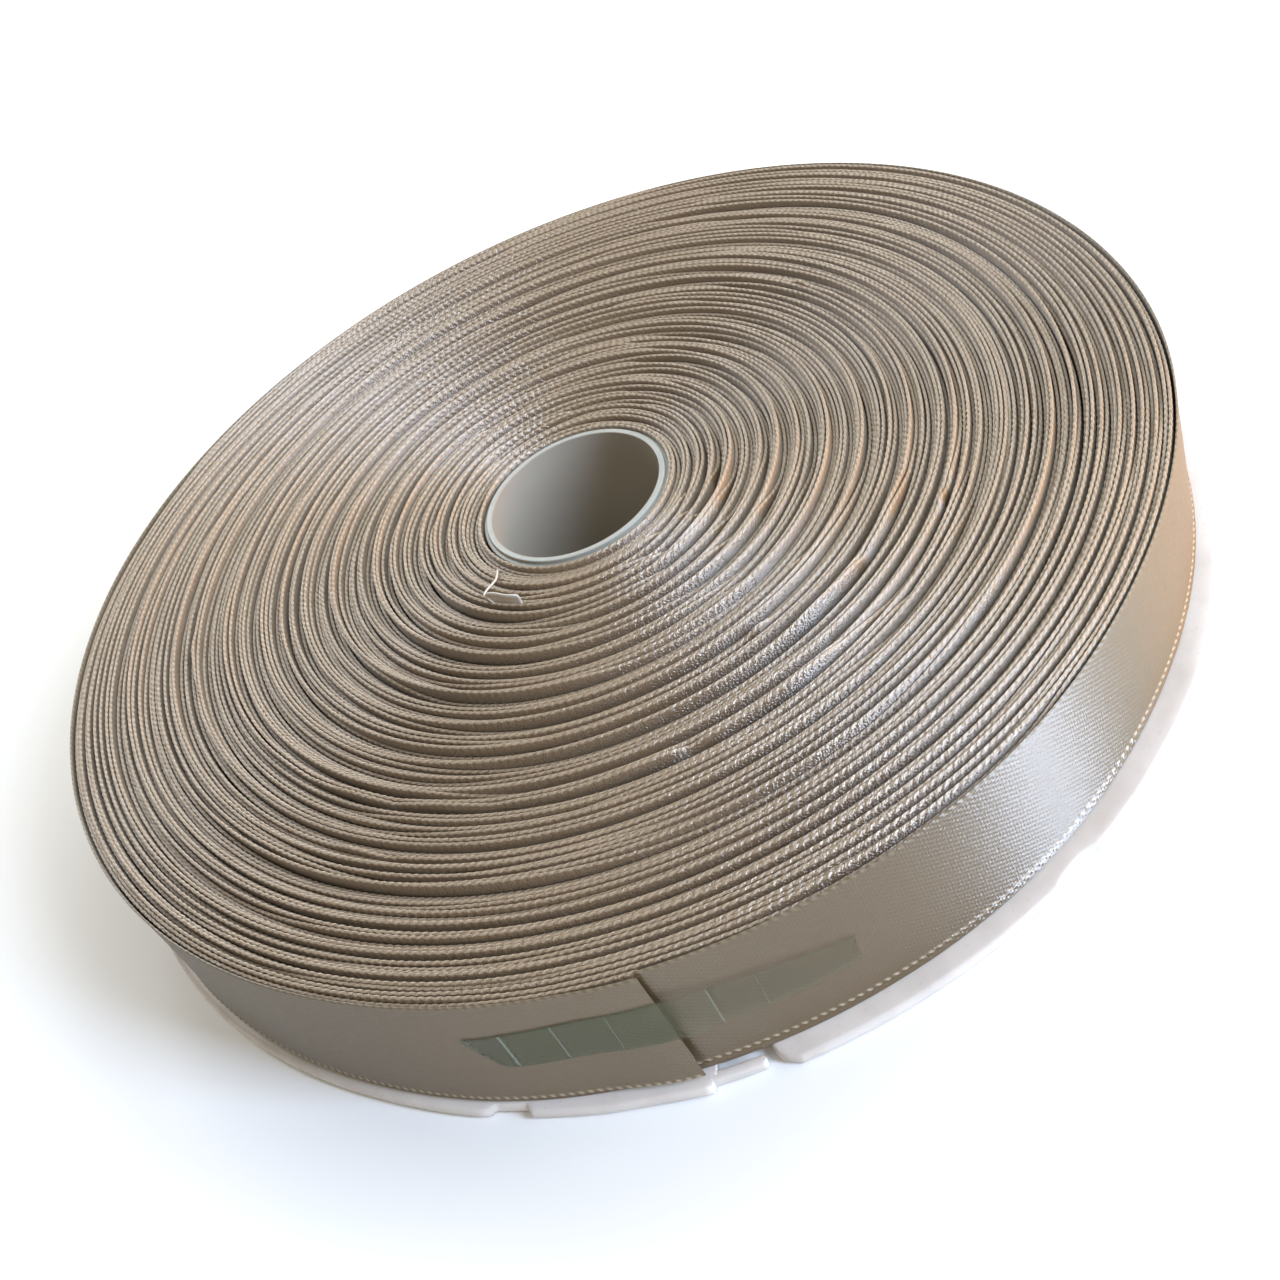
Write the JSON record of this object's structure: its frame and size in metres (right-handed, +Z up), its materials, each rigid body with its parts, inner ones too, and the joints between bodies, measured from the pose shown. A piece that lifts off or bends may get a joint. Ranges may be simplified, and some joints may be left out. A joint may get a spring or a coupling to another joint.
{
  "type": "roll of ribbon",
  "caption": "Flat roll of taupe satin ribbon wound edge-up on a white plastic spool with one flange below, its cut end held by a short clear tape.",
  "frame": {"origin": "middle of the flange's flat underside, on the surface the roll lies on", "axes": "+Z up along the spool's axis, -Y towards the cut end of the ribbon"},
  "size_m": [0.2058, 0.2058, 0.0306],
  "materials": {
    "ribbon": "satin",
    "flange": "gloss",
    "tube": "satin",
    "tape": "gloss",
    "film": "gloss"
  },
  "bodies": {
    "root": {"ribbon_roll": "ribbon", "ribbon_end": "ribbon", "end_tape": "tape", "spool_flange": "flange", "core_tube": "tube", "start_tab": "film"}
  },
  "joints": []
}
